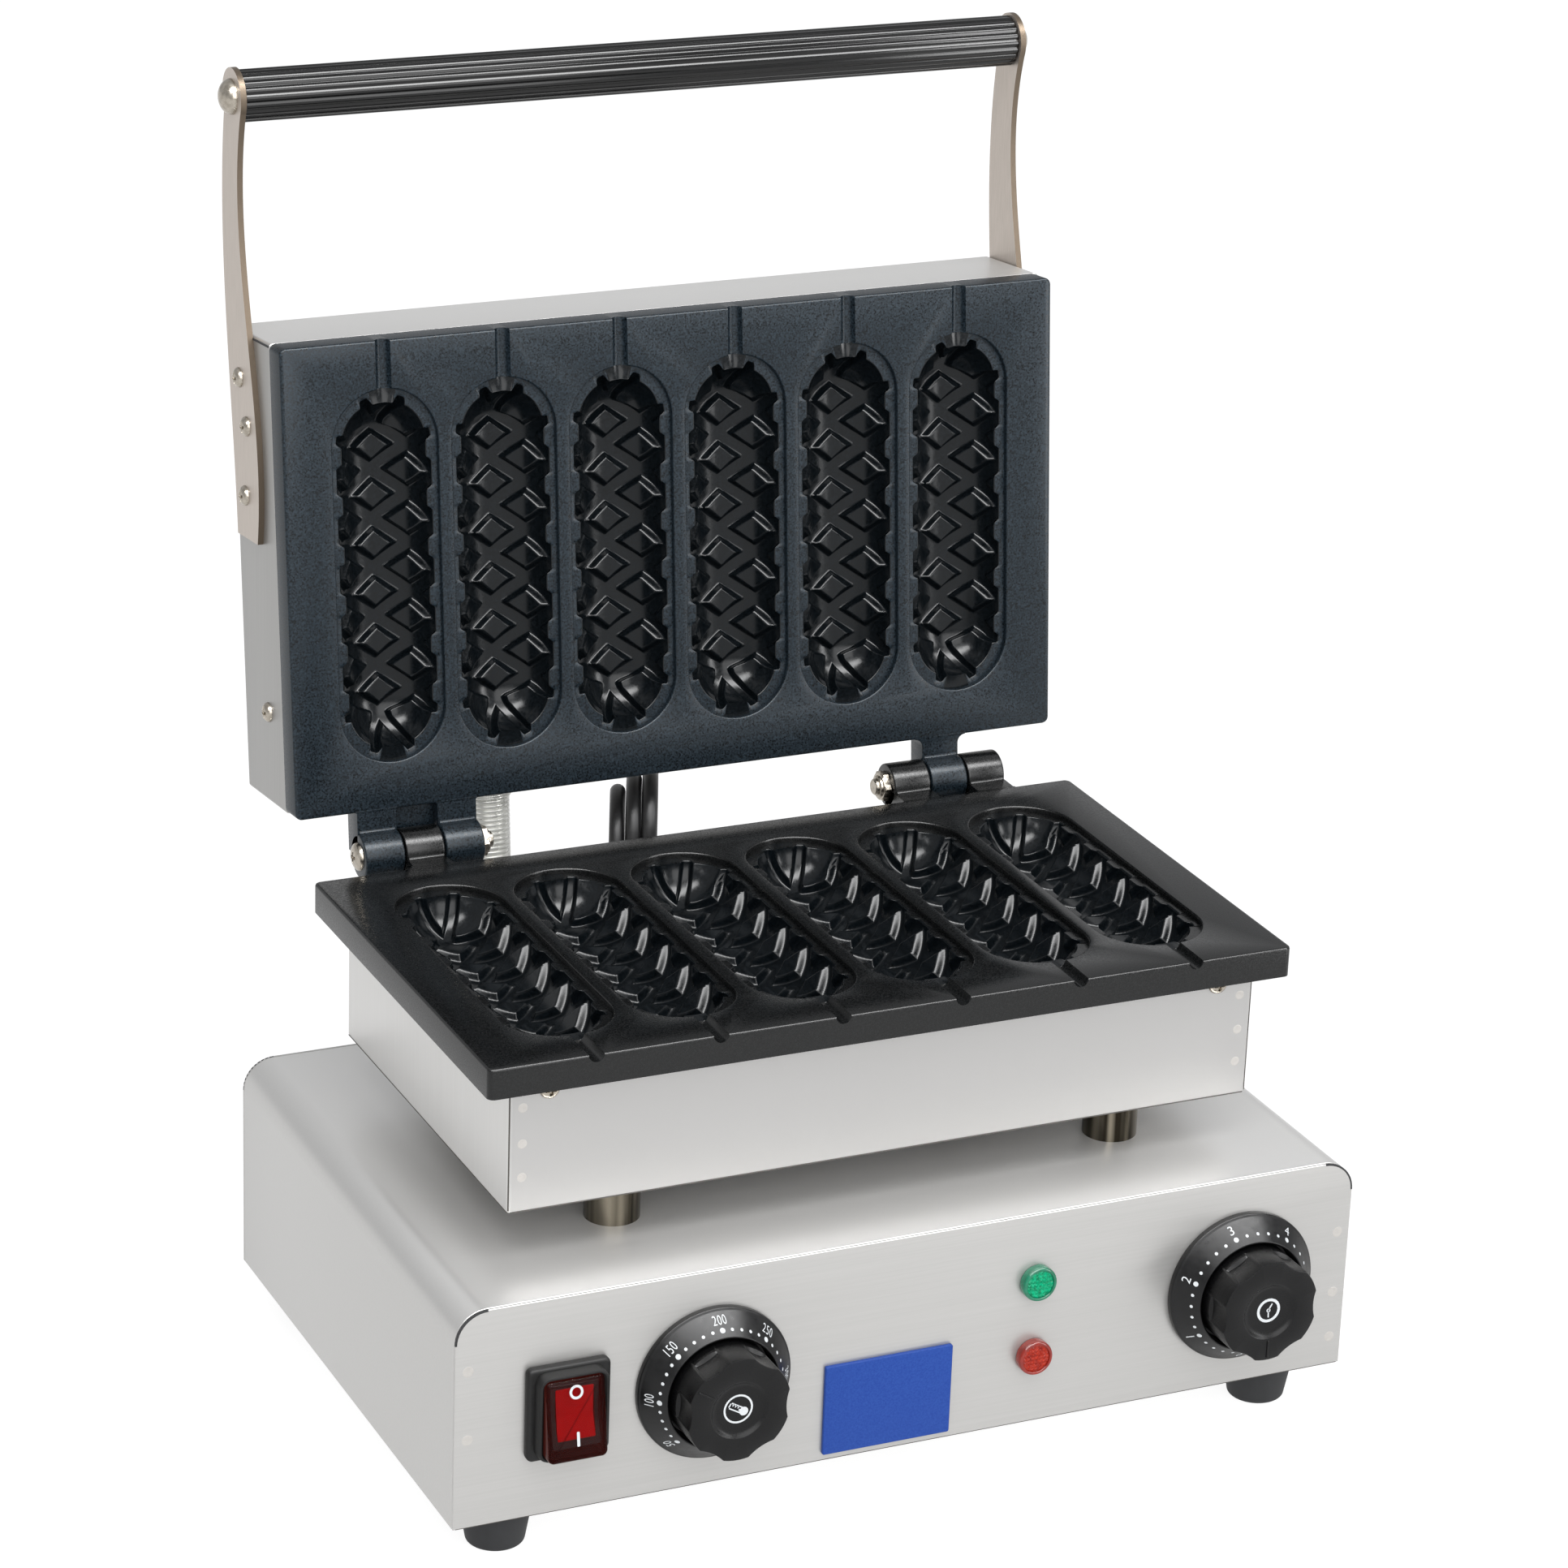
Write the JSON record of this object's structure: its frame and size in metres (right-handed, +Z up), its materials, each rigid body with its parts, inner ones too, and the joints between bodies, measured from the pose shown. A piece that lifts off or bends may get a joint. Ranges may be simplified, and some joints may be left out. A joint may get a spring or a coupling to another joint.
{
  "type": "stick waffle maker",
  "caption": "Counter-top electric waffle maker for waffles on a stick, with a hinged lid standing open, long diamond-pattern moulds, front dials, switch and lamps.",
  "frame": {"origin": "centre of the four rubber feet, on the surface that the maker stands on", "axes": "+Z up, +Y to the back, +X to the right as seen from the front"},
  "size_m": [0.4, 0.362, 0.5285],
  "materials": {
    "stainless_sheet": "satin brushed stainless sheet",
    "steel_hardware": "turned and plated steel",
    "cast_plate": "non-stick coated cast aluminium, fine metallic fleck",
    "hose_metal": "galvanised ribbed steel hose",
    "black_rubber": "matte moulded rubber",
    "black_plastic": "satin moulded plastic",
    "grip_plastic": "fluted satin plastic",
    "dial_enamel": "satin black enamel",
    "boot_plastic": "clear smoky red rubber boot",
    "rocker_plastic": "glossy red plastic",
    "green_lens": "faceted clear green plastic",
    "red_lens": "faceted clear red plastic",
    "blue_plate": "satin blue lacquer",
    "cord_pvc": "satin black cable sheath",
    "heater_steel": "heat-tinted steel tube",
    "ceramic_block": "white glazed terminal block"
  },
  "bodies": {
    "base": {"base_wrap": "stainless_sheet", "front_panel": "stainless_sheet", "rear_panel": "stainless_sheet", "bottom_plate": "stainless_sheet", "rubber_feet": "black_rubber", "foot_screws": "steel_hardware", "support_posts": "steel_hardware", "post_bolts": "steel_hardware", "lower_casing": "stainless_sheet", "lower_plate": "cast_plate", "plate_screws": "steel_hardware", "lower_heating_element": "heater_steel", "thermostat_bulb": "steel_hardware", "thermostat_body": "ceramic_block", "thermostat_dial": "dial_enamel", "timer_body": "ceramic_block", "timer_dial": "dial_enamel", "switch_housing": "black_plastic", "switch_boot": "boot_plastic", "green_lamp_lens": "green_lens", "red_lamp_lens": "red_lens", "lamp_barrels": "black_plastic", "badge_plate": "blue_plate", "terminal_block": "ceramic_block", "conduit": "hose_metal", "conduit_base_fitting": "steel_hardware", "right_hinge_bolt": "steel_hardware", "right_hinge_nut": "steel_hardware", "power_cord_lead": "cord_pvc", "power_cord_hank": "cord_pvc", "power_cord_tail": "cord_pvc", "hank_tie": "black_plastic", "power_plug": "black_plastic", "cord_gland": "black_plastic"},
    "lid": {"upper_plate": "cast_plate", "upper_casing": "stainless_sheet", "upper_heating_element": "heater_steel", "handle_arm_left": "steel_hardware", "handle_arm_right": "steel_hardware", "handle_grip": "grip_plastic", "handle_core": "steel_hardware", "handle_bolts": "steel_hardware", "arm_screws": "steel_hardware", "casing_screws": "steel_hardware", "conduit_lid_fitting": "steel_hardware", "left_hinge_bolt": "steel_hardware", "left_hinge_nut": "steel_hardware"},
    "thermostat_control": {"thermostat_knob": "black_plastic", "thermostat_shaft": "steel_hardware"},
    "timer_control": {"timer_knob": "black_plastic", "timer_shaft": "steel_hardware"},
    "rocker": {"switch_rocker": "rocker_plastic"}
  },
  "joints": [
    {"name": "lid_hinge", "type": "hinge", "parent": "base", "child": "lid", "pos_m": [0, 0.1194, 0.2041], "axis": [1, 0, 0], "range_deg": [0, 96], "deforming": ["conduit"]},
    {"name": "thermostat_turn", "type": "hinge", "parent": "base", "child": "thermostat_control", "pos_m": [-0.0905, -0.1258, 0.066], "axis": [0, 1, 0], "range_deg": [-122, 148]},
    {"name": "timer_turn", "type": "hinge", "parent": "base", "child": "timer_control", "pos_m": [0.1483, -0.1258, 0.066], "axis": [0, 1, 0], "range_deg": [0, 270]},
    {"name": "switch_rock", "type": "hinge", "parent": "base", "child": "rocker", "pos_m": [-0.1535, -0.1288, 0.0666], "axis": [1, 0, 0], "range_deg": [0, 20], "deforming": ["switch_boot"]}
  ]
}
